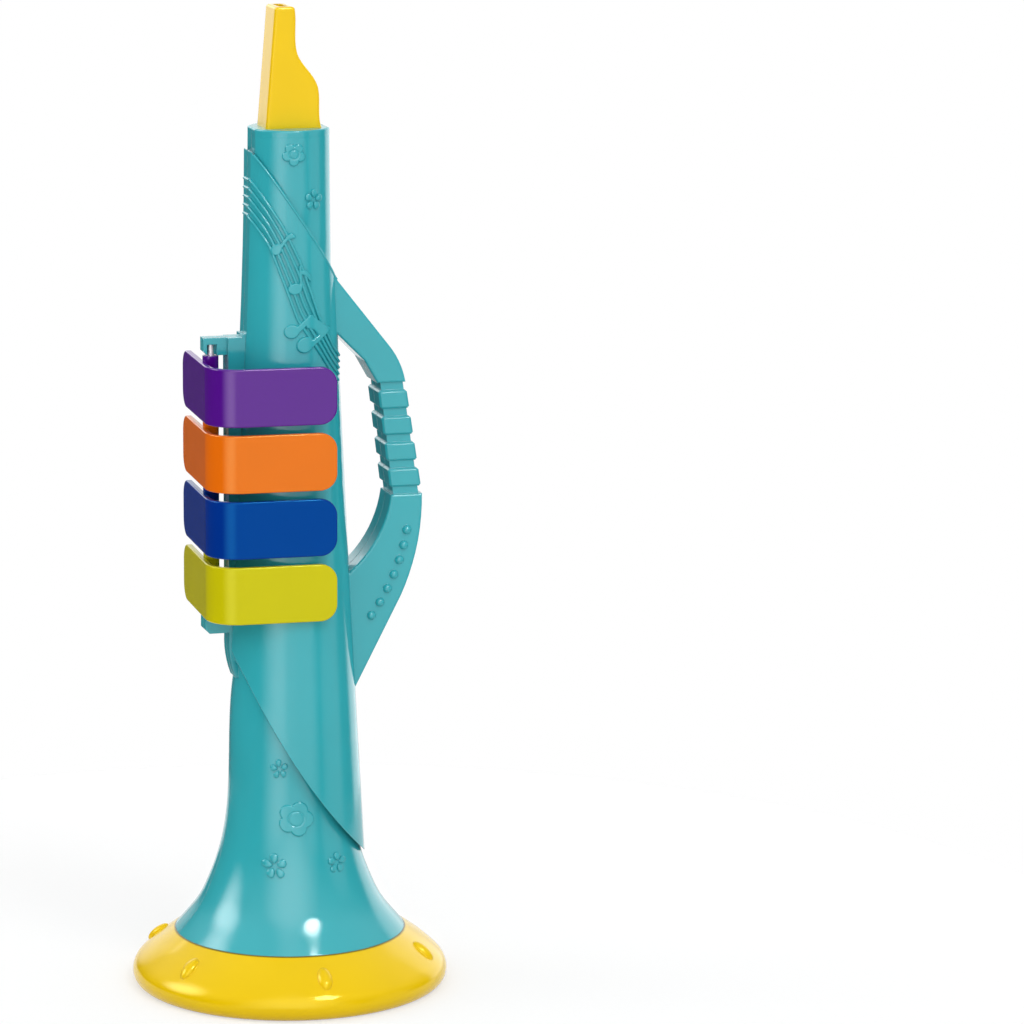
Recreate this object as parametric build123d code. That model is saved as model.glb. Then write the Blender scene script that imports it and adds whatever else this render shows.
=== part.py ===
from build123d import *
from bisect import bisect
from math import atan2, ceil, cos, degrees, pi, radians, sin, sqrt
import os

# A toy trumpet with four sprung keys, in millimetres.
# The origin is the middle of the bell's rest face. +Z runs up the tube to the mouthpiece,
# +X points to the handle, and -Y is the front, where the key plates are.
# The teal body is two moulded halves that meet on the plane Y = 0.
# A rise is measured up from the place that it names, a drop down from it.

# Horn, from the bell ring's seam up to its neck
horn_mouth_height = 16.4
horn_mouth_radius = 34.0
horn_length = 77.6
horn_neck_radius = 16.5
body_wall = 1.9
# rise above the mouth, and widening beyond the neck, as shares of the horn's length and flare
flare_shares = ((0.046, 0.829), (0.104, 0.629), (0.175, 0.469), (0.265, 0.314), (0.343, 0.217), (0.652, 0.086))

# Tube, from the horn's neck up
tube_length = 160.0
tube_top_radius = 11.9
tube_foot_drop = 49.0
tube_foot_radius = 12.4
tube_flat_width = 9.2
tube_edge_radius = 0.7

# Raised sleeve round the tube, cut along a slanted line above and an arc below
sleeve_low_share = 0.825
sleeve_low_radius = 22.65
sleeve_high_drop = 2.0
sleeve_high_radius = 12.87
# rise, and narrowing from the low end, as shares
sleeve_shares = ((0.288, 0.353), (0.441, 0.537), (0.586, 0.695), (0.730, 0.849))
sleeve_flat_width = 8.0
sleeve_left_drop = 4.9
sleeve_left_reach = 12.5
sleeve_right_drop = 43.8
sleeve_right_reach = 13.4
# drops of the lower edge from the horn's neck, as shares of the horn's length
lip_left_share = -0.1
lip_left_reach = 18.3
lip_middle_share = 0.354
lip_middle_reach = 1.1
lip_right_share = 0.718
lip_right_reach = 22.6
lip_thickness = 1.4
lip_depth = 7.0

# Hollow for the reed unit, under the sleeve
hollow_wall = 2.2
hollow_neck_rise = 10.5
hollow_foot_drop = 2.0
hollow_step = 3.0
top_wall = 1.8

# Spigot at the mouth, which the bell ring snaps over
spigot_wall = 1.8
spigot_shoulder = 1.2
spigot_length = 4.0
bead_height = 0.4
bead_drop = 2.4
bead_half_length = 0.7
snap_clearance = 0.1

# Bell ring
ring_radius = 46.7
ring_rest_inset = 3.1
ring_rest_width = 2.2
# outline from the seam down: share of the way out, share of the way down
ring_outer_shares = ((0.444, 0.244), (0.76, 0.45), (0.952, 0.628), (1.0, 0.78), (0.96, 0.9))
ring_inner_shares = ((0.26, 0.33), (0.46, 0.43), (0.68, 0.62), (0.78, 0.79))
bump_count = 6
bump_share = 0.36
bump_length = 7.8
bump_width = 4.3
bump_height = 1.4
bump_sink = 0.2

# Mouthpiece
beak_length = 36.0
beak_depth = 11.6
beak_left_top = 5.2
beak_left_foot = 8.0
beak_right_top = 0.55
beak_right_foot = 8.6
beak_foot_rise = 1.0
beak_edge_radius = 0.9
# share of the width from the right top to the right foot, share of the height
beak_shares = ((0.055, 0.686), (0.14, 0.6), (0.335, 0.526), (0.665, 0.429), (0.85, 0.349), (0.915, 0.246))
slot_width = 2.8
slot_depth = 8.4
slot_length = 24.0
socket_clearance = 0.1
socket_corner = 1.2
collar_length = 5.0
collar_clearance = 0.15
tenon_wall = 1.75
tenon_length = 10.0

# Handle on the right, in the plane of the joint: drops below the sleeve's right end
handle_depth = 12.5
handle_edge_radius = 0.7
handle_root_reach = 8.0
shoulder_reach = 28.4
shoulder_drop = 19.0
knee_reach = 31.6
knee_drop = 23.9
palm_reach = 21.3
palm_drop = 23.7
loop_top_reach = 14.0
loop_top_drop = 16.4
grip_top_outer = 33.7
grip_top_inner = 25.1
grip_top_drop = 30.4
grip_length = 33.4
grip_foot_outer = 38.83
grip_foot_inner = 29.3
grip_count = 4
grip_block_length = 5.5
grip_inset = 0.9
grip_block_edge = 0.6
# and drops below the grip's foot
heel_reach = 38.2
heel_drop = 10.9
lower_corner_reach = 32.6
lower_corner_drop = 30.1
handle_foot_reach = 18.7
handle_foot_drop = 57.0
heel_inner_reach = 24.6
heel_inner_drop = 13.5
loop_foot_reach = 17.7
loop_foot_drop = 21.7
dot_count = 7
dot_radius = 1.35
dot_top_reach = 34.0
dot_top_drop = 10.6
dot_middle_reach = 30.2
dot_middle_drop = 23.5
dot_foot_reach = 23.3
dot_foot_drop = 35.7

# Keys on one rod, from the top: each is a front plate, a bend, a wing and a barrel
key_names = ("purple", "orange", "blue", "lime")
key_count = 4
key_pitch = 19.33
key_height = 16.9
key_thickness = 1.9
key_turn = 2.0
key_body_clearance = 0.45
key_side_gap = 1.57
key_plate_length = 37.2
key_wing_length = 42.0
key_bend_radius = 9.5
key_corner_radius = 5.0
key_edge_radius = 0.45
barrel_top_drop = 64.9
barrel_radius = 2.35
barrel_gap = 0.2
barrel_rise = 1.3
barrel_clearance = 0.05
rod_radius = 0.95
rod_end_gap = 0.15

# Flange on the left, with two arms that hold the key rod
flange_reach = 18.9
flange_depth = 6.5
flange_barrel_gap = 2.15
flange_root_reach = 8.0
flange_step = 0.95
flange_step_reach = 14.8
# drops of the flange's foot below the lower arm
flange_taper_drop = 1.15
flange_taper_reach = 18.6
flange_taper_middle_drop = 7.65
flange_foot_reach = 17.1
flange_foot_drop = 13.5
arm_gap = 0.25
arm_end_wall = 2.55
arm_corner = 1.2
upper_arm_height = 5.1
upper_arm_depth = 4.0
lower_arm_height = 4.6
lower_arm_depth = 6.0
window_width = 2.9
window_height = 3.15
rod_hole_clearance = 0.03
rod_blind_wall = 0.75

# Pads and the seats round the tone holes
pad_radius = 4.6
pad_thickness = 1.4
pad_gap = 0.1
seat_radius = 4.2
seat_recess_clearance = 0.7
tone_hole_radius = 2.4

# Torsion springs round the rod
spring_wire = 0.5
spring_rod_gap = 0.4
spring_pitch = 1.0
spring_turns = 3
spring_room = 7.0
spring_leg = 9.0
spring_hole_clearance = 0.15
spring_hole_depth = 1.6
spring_hole_end_gap = 0.3

# Reed unit: cell box, reed plate, gasket and wind cover, screwed to the front half
unit_clearance = 0.45
cell_half_height = 8.4
cell_half_width = 4.7
cell_wall = 1.3
ear_step = 2.0
ear_height = 4.7
plate_thickness = 1.2
gasket_thickness = 0.6
cover_rim = 1.8
cover_wall = 1.5
cover_half_width = 5.2
port_wall = 1.6
port_seal_thickness = 0.8
port_seal_inset = 0.2
spout_radius = 3.35
spout_bore = 2.2
spout_lap = 0.05
spout_back_lap = 0.25
spout_clearance = 0.1
spout_drop = 8.0
reed_width = 2.0
reed_length = 14.0
reed_thickness = 0.35
reed_slot_clearance = 0.15
rivet_radius = 0.6
rivet_head_radius = 0.95
rivet_head_height = 0.45
rivet_clearance = 0.04
rivet_inset = 1.3

# Screws
screw_clearance = 0.1
unit_screw_radius = 0.95
unit_screw_reach = 5.4
unit_screw_grip = 3.1
unit_screw_head_radius = 1.7
unit_screw_head_height = 1.2
post_radius = 1.95
shell_screw_radius = 1.1
shell_head_radius = 1.9
shell_head_height = 1.5
shell_head_sink = 0.35
shell_tip_wall = 1.65
# from the flange's corners inwards, from the handle's shoulder and from its lower corner
flange_screw_inset = 3.0
flange_screw_drop = 5.95
flange_screw_rise = 4.35
shoulder_screw_inset = 5.6
shoulder_screw_rise = 0.8
corner_screw_inset = 8.0
corner_screw_drop = 2.8

overrun = 40.0
seat_overlap = 0.75

# Heights that follow
horn_neck_height = horn_mouth_height + horn_length
tube_top_height = horn_neck_height + tube_length
tube_foot_height = tube_top_height - tube_foot_drop
overall_height = tube_top_height + beak_length
sleeve_low_height = horn_neck_height - sleeve_low_share * horn_length
sleeve_high_height = tube_top_height - sleeve_high_drop
sleeve_left_height = tube_top_height - sleeve_left_drop
sleeve_right_height = tube_top_height - sleeve_right_drop
lip_left_height = horn_neck_height - lip_left_share * horn_length
lip_middle_height = horn_neck_height - lip_middle_share * horn_length
lip_right_height = horn_neck_height - lip_right_share * horn_length
hollow_low_height = horn_neck_height + hollow_neck_rise
hollow_high_height = tube_foot_height - hollow_foot_drop
grip_top_height = sleeve_right_height - grip_top_drop
grip_foot_height = grip_top_height - grip_length
shoulder_height = sleeve_right_height - shoulder_drop
lower_corner_height = grip_foot_height - lower_corner_drop
barrel_top_height = tube_top_height - barrel_top_drop
upper_arm_foot = barrel_top_height + arm_gap
flange_top_height = upper_arm_foot + upper_arm_height
lower_arm_top = barrel_top_height - key_count * key_pitch + barrel_gap - arm_gap
lower_arm_foot = lower_arm_top - lower_arm_height
key_heights = [barrel_top_height - barrel_rise - key_height / 2 - i * key_pitch for i in range(key_count)]
box_top_height = key_heights[0] + cell_half_height + body_wall
box_foot_height = key_heights[-1] - cell_half_height - body_wall
ear_screw_heights = (box_top_height + ear_height / 2, box_foot_height - ear_height / 2)
spout_top_height = tube_top_height - spout_drop
tenon_foot_height = spout_top_height - tenon_length


def between(points, height):
    """Radius at a height on a line of (radius, height) points, rising."""
    heights = [p[1] for p in points]
    i = min(max(bisect(heights, height), 1), len(points) - 1)
    (r0, z0), (r1, z1) = points[i - 1], points[i]
    return r0 + (r1 - r0) * (height - z0) / (z1 - z0)


# Outlines that several pieces share, as (radius, height)
horn_flare = horn_mouth_radius - horn_neck_radius
flare_points = [(horn_mouth_radius, horn_mouth_height)]
flare_points += [(horn_neck_radius + s * horn_flare, horn_mouth_height + t * horn_length) for t, s in flare_shares]
flare_points += [(horn_neck_radius, horn_neck_height)]
tube_points = [(tube_foot_radius, tube_foot_height), (tube_top_radius, tube_top_height)]
sleeve_height = sleeve_high_height - sleeve_low_height
sleeve_narrowing = sleeve_low_radius - sleeve_high_radius
sleeve_points = [(sleeve_low_radius, sleeve_low_height)]
sleeve_points += [
    (sleeve_low_radius - s * sleeve_narrowing, sleeve_low_height + t * sleeve_height) for t, s in sleeve_shares
]
sleeve_points += [(sleeve_high_radius, sleeve_high_height)]
hollow_points = [(between(sleeve_points, hollow_low_height) - hollow_wall, hollow_low_height)]
hollow_points += [(r - hollow_wall, z) for r, z in sleeve_points if hollow_low_height < z < hollow_high_height]
hollow_points += [(between(sleeve_points, hollow_high_height) - hollow_wall, hollow_high_height)]

# Places and sizes that follow from the outlines
spigot_outer_radius = horn_mouth_radius - spigot_shoulder
spigot_inner_radius = spigot_outer_radius - spigot_wall
rod_reach = flange_reach + flange_barrel_gap + barrel_radius
lowest_plate = barrel_top_height - barrel_rise - (key_count - 1) * key_pitch - key_height
plate_reach = between(sleeve_points, lowest_plate) + key_body_clearance
key_front = plate_reach + key_thickness - rod_reach * sin(radians(key_turn))
key_side = barrel_radius + key_side_gap
spring_mean_radius = rod_radius + spring_rod_gap + spring_wire / 2
spring_hole_radius = spring_wire / 2 + spring_hole_clearance
box_half_width = cell_half_width + cell_wall
box_front = sqrt((between(hollow_points, box_top_height) - unit_clearance) ** 2 - box_half_width**2)
ear_front = box_front - ear_step
cover_front = spout_radius + spout_lap
plate_front = cover_front + gasket_thickness + plate_thickness
cover_back = spout_radius + spout_back_lap
unit_half_width = unit_screw_reach + post_radius
unit_low = box_foot_height - ear_height
unit_high = box_top_height + ear_height
port_tube_radius = tone_hole_radius + port_wall
unit_screw_tip = ear_front + unit_screw_grip
tenon_radius = spout_radius + spout_clearance + tenon_wall


def inset(points, distance):
    """The points of a rising outline, moved square to it towards the axis."""
    moved = []
    for i, (r, z) in enumerate(points):
        (r0, z0), (r1, z1) = points[max(i - 1, 0)], points[min(i + 1, len(points) - 1)]
        length = sqrt((r1 - r0) ** 2 + (z1 - z0) ** 2)
        moved.append((r - distance * (z1 - z0) / length, z + distance * (r1 - r0) / length))
    return moved


def half_width(radius, flat_width):
    return sqrt(radius**2 - (flat_width / 2) ** 2)


def spun(outline):
    """A solid of revolution round Z from edges drawn as (radius, height)."""
    return revolve(Plane.XZ * make_face(outline), Axis.Z)


def across(outline, depth):
    """A plate drawn as (X, Z) that reaches half its depth to the front and half to the back."""
    return extrude(Plane.XZ * make_face(outline), depth / 2, both=True)


def closed(*points):
    return Polyline(*points, close=True)


def rod_along_y(x, z, radius, front, back):
    """A cylinder along Y from the Y value front to the larger one back."""
    return Pos(x, (front + back) / 2, z) * Rot(X=90) * Cylinder(radius, back - front)


def upright(x, radius, low, high):
    """A cylinder along Z at a place on the X axis."""
    return Pos(x, 0, (low + high) / 2) * Cylinder(radius, high - low)


def box_between(low, high):
    size = [b - a for a, b in zip(low, high)]
    return Pos(*[(a + b) / 2 for a, b in zip(low, high)]) * Box(*size)


def flat_sides(points, flat_width, inward=0):
    """A prism, wide in Y, that cuts two flats on a round piece with (radius, height) points."""
    right = Spline(*[(half_width(r, flat_width) - inward, z) for r, z in points])
    left = Spline(*[(inward - half_width(r, flat_width), z) for r, z in points])
    caps = Line(right @ 0, left @ 0) + Line(right @ 1, left @ 1)
    return across(right + left + caps, 2 * overrun)


def mirrored_prism(half):
    """A prism, wide in Y, from the right half of its (X, Z) outline."""
    return across(closed(*half, *[(-x, z) for x, z in reversed(half)]), 2 * overrun)


def core():
    """Tube, horn and spigot as one solid, before it is hollowed."""
    bead_middle = horn_mouth_height - bead_drop
    spigot_foot = horn_mouth_height - spigot_length
    foot = Polyline(
        (0, spigot_foot),
        (spigot_outer_radius, spigot_foot),
        (spigot_outer_radius, bead_middle - bead_half_length),
        (spigot_outer_radius + bead_height, bead_middle),
        (spigot_outer_radius, bead_middle + bead_half_length),
        (spigot_outer_radius, horn_mouth_height),
        flare_points[0],
    )
    top = Polyline(flare_points[-1], *tube_points, (0, tube_top_height), (0, spigot_foot))
    solid = spun(foot + Spline(*flare_points) + top)
    tube_width = half_width(tube_foot_radius, tube_flat_width)
    solid &= mirrored_prism([
        (half_width(tube_top_radius, tube_flat_width), tube_top_height),
        (tube_width, tube_foot_height),
        (tube_width + hollow_step, tube_foot_height - hollow_step),
        (overrun, tube_foot_height - hollow_step),
        (overrun, 0),
    ])
    return fillet(solid.faces().sort_by(Axis.Z)[-1].edges(), tube_edge_radius)


def lip_arc(rise):
    """The sleeve's lower edge, moved up by rise, drawn as (X, Z)."""
    left = (-lip_left_reach, lip_left_height + rise)
    middle = (-lip_middle_reach, lip_middle_height + rise)
    right = (lip_right_reach, lip_right_height + rise)
    return ThreePointArc(left, middle, right)


def sleeve_fall():
    """How steeply the sleeve's upper edge falls to the right."""
    return (sleeve_left_height - sleeve_right_height) / (sleeve_left_reach + sleeve_right_reach)


def sleeve_blank(inward):
    """The whole round sleeve with its flats, before its edges are cut, made thinner by inward."""
    points = [(r - inward, z) for r, z in sleeve_points]
    rest = Polyline(points[-1], (0, sleeve_high_height), (0, sleeve_low_height), points[0])
    return spun(Spline(*points) + rest) & flat_sides(sleeve_points, sleeve_flat_width, inward)


def sleeve():
    """The raised layer, with a lower lip that stands off the horn."""
    left_rise = sleeve_fall() * (overrun - lip_left_reach)
    low, high = lip_arc(0), lip_arc(lip_depth)
    low_left = Line((-overrun, lip_left_height + left_rise), low @ 0)
    low_right = Line(low @ 1, (overrun, lip_right_height))
    far_right = (overrun, sleeve_right_height - sleeve_fall() * (overrun - sleeve_right_reach))
    far_left = (-overrun, sleeve_left_height + sleeve_fall() * (overrun - sleeve_left_reach))
    rest = Polyline(low_right @ 1, far_right, far_left, low_left @ 0)
    band = across(low_left + low + low_right + rest, 2 * overrun)
    strip_left = Line((-overrun, (low_left @ 0).Y + lip_depth), high @ 0)
    strip_right = Line(high @ 1, (overrun, lip_right_height + lip_depth))
    sides = Line(low_left @ 0, strip_left @ 0) + Line(low_right @ 1, strip_right @ 1)
    strip = across(low_left + low + low_right + strip_left + high + strip_right + sides, 2 * overrun)
    return (sleeve_blank(0) & band) - (sleeve_blank(lip_thickness) & strip)


def rounded_plate(outline, depth, radius, sharp_reach):
    """A plate with rounded front and back edges, left sharp where it runs into the body."""
    plate = across(outline, depth)
    faces = plate.faces().sort_by(Axis.Y)
    edges = [e for f in (faces[0], faces[-1]) for e in f.edges() if (e @ 0.5).X > sharp_reach]
    return fillet(edges, radius)


def handle():
    """Two shoulders joined by a slanted grip of four blocks, with a row of dots below."""
    top_outer, top_inner = (grip_top_outer, grip_top_height), (grip_top_inner, grip_top_height)
    foot_outer, foot_inner = (grip_foot_outer, grip_foot_height), (grip_foot_inner, grip_foot_height)
    shoulder = (shoulder_reach, shoulder_height)
    loop_top = (loop_top_reach, sleeve_right_height - loop_top_drop)
    lower_corner = (lower_corner_reach, lower_corner_height)
    handle_foot = (handle_foot_reach, grip_foot_height - handle_foot_drop)
    loop_foot = (loop_foot_reach, grip_foot_height - loop_foot_drop)
    upper = Polyline(
        top_outer,
        top_inner,
        (palm_reach, sleeve_right_height - palm_drop),
        loop_top,
        (handle_root_reach, loop_top[1] + loop_top_reach - handle_root_reach),
        (handle_root_reach, sleeve_right_height + sleeve_fall() * (sleeve_right_reach - handle_root_reach)),
        (sleeve_right_reach, sleeve_right_height),
        shoulder,
    )
    knee = ThreePointArc(shoulder, (knee_reach, sleeve_right_height - knee_drop), top_outer)
    slope = (lower_corner_height - handle_foot[1]) / (lower_corner_reach - handle_foot_reach)
    heel = ThreePointArc(foot_outer, (heel_reach, grip_foot_height - heel_drop), lower_corner)
    lower = Polyline(
        lower_corner,
        (handle_root_reach, handle_foot[1] - slope * (handle_foot_reach - handle_root_reach)),
        (handle_root_reach, loop_foot[1] - loop_foot_reach + handle_root_reach),
        loop_foot,
    )
    inner = ThreePointArc(loop_foot, (heel_inner_reach, grip_foot_height - heel_inner_drop), foot_inner)
    ledge = Line(foot_inner, foot_outer)
    solid = rounded_plate(upper + knee, handle_depth, handle_edge_radius, sleeve_right_reach + handle_edge_radius)
    solid += rounded_plate(heel + lower + inner + ledge, handle_depth, handle_edge_radius, loop_foot_reach)
    neck = closed(
        (grip_top_inner + grip_inset, grip_top_height + grip_inset),
        (grip_top_outer - grip_inset, grip_top_height + grip_inset),
        (grip_foot_outer - grip_inset, grip_foot_height - grip_inset),
        (grip_foot_inner + grip_inset, grip_foot_height - grip_inset),
    )
    solid += across(neck, handle_depth - 2 * grip_inset)
    gap = (grip_length - grip_count * grip_block_length) / (grip_count + 1)
    inner_slope = (grip_foot_inner - grip_top_inner) / grip_length
    outer_slope = (grip_foot_outer - grip_top_outer) / grip_length
    for i in range(grip_count):
        top = gap + i * (grip_block_length + gap)
        foot = top + grip_block_length
        block = across(
            closed(
                (grip_top_inner + inner_slope * top, grip_top_height - top),
                (grip_top_outer + outer_slope * top, grip_top_height - top),
                (grip_top_outer + outer_slope * foot, grip_top_height - foot),
                (grip_top_inner + inner_slope * foot, grip_top_height - foot),
            ),
            handle_depth,
        )
        solid += chamfer(block.edges(), grip_block_edge)
    dots = ThreePointArc((dot_top_reach, grip_foot_height - dot_top_drop),
                         (dot_middle_reach, grip_foot_height - dot_middle_drop),
                         (dot_foot_reach, grip_foot_height - dot_foot_drop))
    for i in range(dot_count):
        at = dots @ (i / (dot_count - 1))
        solid += Pos(at.X, -handle_depth / 2, at.Y) * Sphere(dot_radius)
    return solid


def flange():
    """The plate on the left, and the two arms with blind holes for the key rod."""
    taper_start = (-flange_reach, lower_arm_foot - flange_taper_drop)
    taper_end = (-flange_foot_reach, lower_arm_foot - flange_foot_drop)
    taper = ThreePointArc(taper_start, (-flange_taper_reach, lower_arm_foot - flange_taper_middle_drop), taper_end)
    edge = Polyline(
        taper_end,
        (-flange_root_reach, lower_arm_foot - flange_foot_drop),
        (-flange_root_reach, flange_top_height + flange_step),
        (-flange_step_reach, flange_top_height + flange_step),
        (-flange_step_reach, flange_top_height),
        (-flange_reach, flange_top_height),
        taper_start,
    )
    solid = across(edge + taper, flange_depth)
    end = -rod_reach - arm_end_wall
    upper = box_between((end, -upper_arm_depth / 2, upper_arm_foot),
                        (-flange_step_reach, upper_arm_depth / 2, flange_top_height))
    lower = box_between((end, -lower_arm_depth / 2, lower_arm_foot),
                        (-flange_step_reach, lower_arm_depth / 2, lower_arm_top))
    for arm in (upper, lower):
        corner = arm.edges().filter_by(Axis.Y).group_by(Axis.X)[0].sort_by(Axis.Z)[0]
        solid += chamfer(corner, arm_corner)
    return solid


def rod_holes():
    """The rod's blind holes and the window that shows its upper end."""
    cut = upright(-rod_reach, rod_radius + rod_hole_clearance, lower_arm_foot + rod_blind_wall,
                  flange_top_height - rod_blind_wall)
    window = box_between((-rod_reach - window_width / 2, -overrun / 2, barrel_top_height),
                         (-rod_reach + window_width / 2, rod_hole_clearance, upper_arm_foot + window_height))
    return cut + window


def in_key_frame(solid):
    """Places a solid drawn about the rod's axis, with the key's slight turn at rest."""
    return Pos(-rod_reach, 0, 0) * Rot(Z=-key_turn) * solid


def tone_seat(height):
    """The raised seat round a tone hole, and the room that is cut round it for the pad."""
    seat = -(key_front - key_thickness - pad_thickness - pad_gap)
    ring = in_key_frame(rod_along_y(rod_reach, height, seat_radius, seat, -box_front))
    room = in_key_frame(
        rod_along_y(rod_reach, height, pad_radius + seat_recess_clearance, seat - overrun / 2, seat))
    return ring, room


def hollow():
    """The air space inside both halves, from the spigot to under the tube's top wall."""
    inner = inset(flare_points, body_wall)[1:]
    tube_inner = inset(tube_points, body_wall)
    ceiling = tube_top_height - top_wall
    foot = Polyline((0, 0), (spigot_inner_radius, 0), (spigot_inner_radius, horn_mouth_height), inner[0])
    above = Polyline(
        inner[-1],
        (inner[-1][0], hollow_low_height - hollow_step),
        *hollow_points,
        (tube_inner[0][0], hollow_high_height + hollow_step),
        (tube_inner[1][0], ceiling),
        (0, ceiling),
        (0, 0),
    )
    solid = spun(foot + Spline(*inner) + above)
    sides = [(half_width(r + hollow_wall, sleeve_flat_width) - hollow_wall, z) for r, z in hollow_points]
    return solid & mirrored_prism([
        (overrun, 0),
        (overrun, hollow_low_height),
        *sides,
        (half_width(tube_foot_radius, tube_flat_width) - body_wall, hollow_high_height + hollow_step),
        (half_width(tube_top_radius, tube_flat_width) - body_wall, tube_top_height),
    ])


def socket():
    """The opening in the tube's top wall that the beak stands in."""
    width = beak_left_foot + beak_right_foot + 2 * socket_clearance
    outline = RectangleRounded(width, beak_depth + 2 * socket_clearance, socket_corner)
    foot = tube_top_height - top_wall - hollow_step
    return Pos((beak_right_foot - beak_left_foot) / 2, 0, foot) * extrude(outline, top_wall + 2 * hollow_step)


def shell_screw_places():
    """(X, Z, depth of the wall there) of each screw that joins the two halves."""
    reach = flange_reach - flange_screw_inset
    return (
        (-reach, flange_top_height - flange_screw_drop, flange_depth),
        (-reach, lower_arm_foot + flange_screw_rise, flange_depth),
        (shoulder_reach - shoulder_screw_inset, shoulder_height + shoulder_screw_rise, handle_depth),
        (lower_corner_reach - corner_screw_inset, lower_corner_height - corner_screw_drop, handle_depth),
    )


def body_halves():
    """Front and back halves of the body, with every hole, post and seat."""
    solid = core() + sleeve() + handle() + flange()
    seats = [tone_seat(z) for z in key_heights]
    for ring, room in seats:
        solid += ring
    solid -= hollow()
    solid -= socket()
    for z in key_heights:
        root = between(hollow_points, z) + seat_overlap
        solid += rod_along_y(0, z, port_tube_radius, -root, -box_front - port_seal_thickness)
    for z in ear_screw_heights:
        for x in (-unit_screw_reach, unit_screw_reach):
            root = sqrt(between(hollow_points, z) ** 2 - x**2) + seat_overlap
            pilot = rod_along_y(x, z, unit_screw_radius + screw_clearance, -unit_screw_tip - screw_clearance, 0)
            solid = solid + rod_along_y(x, z, post_radius, -root, -ear_front) - pilot
    for z, (ring, room) in zip(key_heights, seats):
        solid = solid - room - rod_along_y(0, z, tone_hole_radius, -overrun, -ear_front)
        solid -= spring_hole(z)
    solid -= rod_holes()
    for x, z, depth in shell_screw_places():
        tip = depth / 2 - shell_tip_wall
        head = depth / 2 - shell_head_sink - shell_head_height
        solid -= rod_along_y(x, z, shell_screw_radius + screw_clearance, -tip - screw_clearance, depth)
        solid -= rod_along_y(x, z, shell_head_radius + screw_clearance, head, depth)
    return split(solid, Plane.XZ, keep=Keep.TOP), split(solid, Plane.XZ, keep=Keep.BOTTOM)


def bell_ring():
    """The ring that the trumpet stands on, with a snap groove and six raised drops."""
    bore = spigot_outer_radius + snap_clearance
    reach = ring_radius - horn_mouth_radius
    rest_outer = ring_radius - ring_rest_inset
    rest_inner = rest_outer - ring_rest_width
    outer = [(horn_mouth_radius, horn_mouth_height)]
    outer += [(horn_mouth_radius + s * reach, horn_mouth_height * (1 - t)) for s, t in ring_outer_shares]
    outer += [(rest_outer, 0)]
    inner = [(bore + s * (ring_radius - bore), horn_mouth_height * (1 - t)) for s, t in ring_inner_shares]
    bead_middle = horn_mouth_height - bead_drop
    half = bead_half_length + snap_clearance
    inside = Polyline(
        (rest_outer, 0),
        (rest_inner, 0),
        *reversed(inner),
        (bore, horn_mouth_height - spigot_length - snap_clearance),
        (bore, bead_middle - half),
        (bore + bead_height, bead_middle),
        (bore, bead_middle + half),
        (bore, horn_mouth_height),
        (horn_mouth_radius, horn_mouth_height),
    )
    profile = Spline(*outer)
    ring = spun(profile + inside)
    spot, along = profile @ bump_share, profile % bump_share
    depth = bump_height + bump_sink
    drop = scale(Sphere(depth), by=(bump_length / 2 / depth, bump_width / 2 / depth, 1))
    drop = Pos(spot.X, 0, spot.Y) * Rot(Y=degrees(atan2(-along.Y, along.X))) * Pos(0, 0, -bump_sink) * drop
    for i in range(bump_count):
        ring += Rot(Z=-90 + i * 360 / bump_count) * drop
    return ring


def mouthpiece():
    """Beak, collar under the top wall and tenon over the wind spout, with the airway through."""
    beak_foot = tube_top_height + beak_foot_rise
    span, rise = beak_right_foot - beak_right_top, overall_height - beak_foot
    foot = tube_top_height - top_wall
    curve = [(beak_right_top + s * span, beak_foot + t * rise) for s, t in beak_shares]
    right = Spline((beak_right_top, overall_height), *curve, (beak_right_foot, beak_foot))
    rest = Polyline(
        (beak_right_foot, beak_foot),
        (beak_right_foot, foot),
        (-beak_left_foot, foot),
        (-beak_left_foot, beak_foot),
        (-beak_left_top, overall_height),
        (beak_right_top, overall_height),
    )
    beak = across(right + rest, beak_depth)
    foot_edges = beak.edges().group_by(Axis.Z)[0]
    beak = fillet([e for e in beak.edges() if e not in foot_edges], beak_edge_radius)
    collar_radius = between(tube_points, foot) - body_wall - collar_clearance
    collar_side = half_width(tube_top_radius, tube_flat_width) - body_wall - collar_clearance
    collar = upright(0, collar_radius, foot - collar_length, foot)
    collar &= Pos(0, 0, foot) * Box(2 * collar_side, overrun, overrun)
    tenon = upright(0, tenon_radius, tenon_foot_height, foot)
    bore_top = spout_top_height + spout_clearance
    bore = upright(0, spout_radius + spout_clearance, tenon_foot_height, bore_top)
    slot = RectangleRounded(slot_width, slot_depth, slot_width / 2 - socket_clearance)
    slot_plane = Plane(((beak_right_top - beak_left_top) / 2, 0, overall_height - slot_length))
    airway = loft([Plane.XY.offset(bore_top) * Circle(spout_bore), slot_plane * slot], ruled=True)
    airway += extrude(slot_plane * slot, slot_length)
    return beak + collar + tenon - bore - airway


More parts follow.
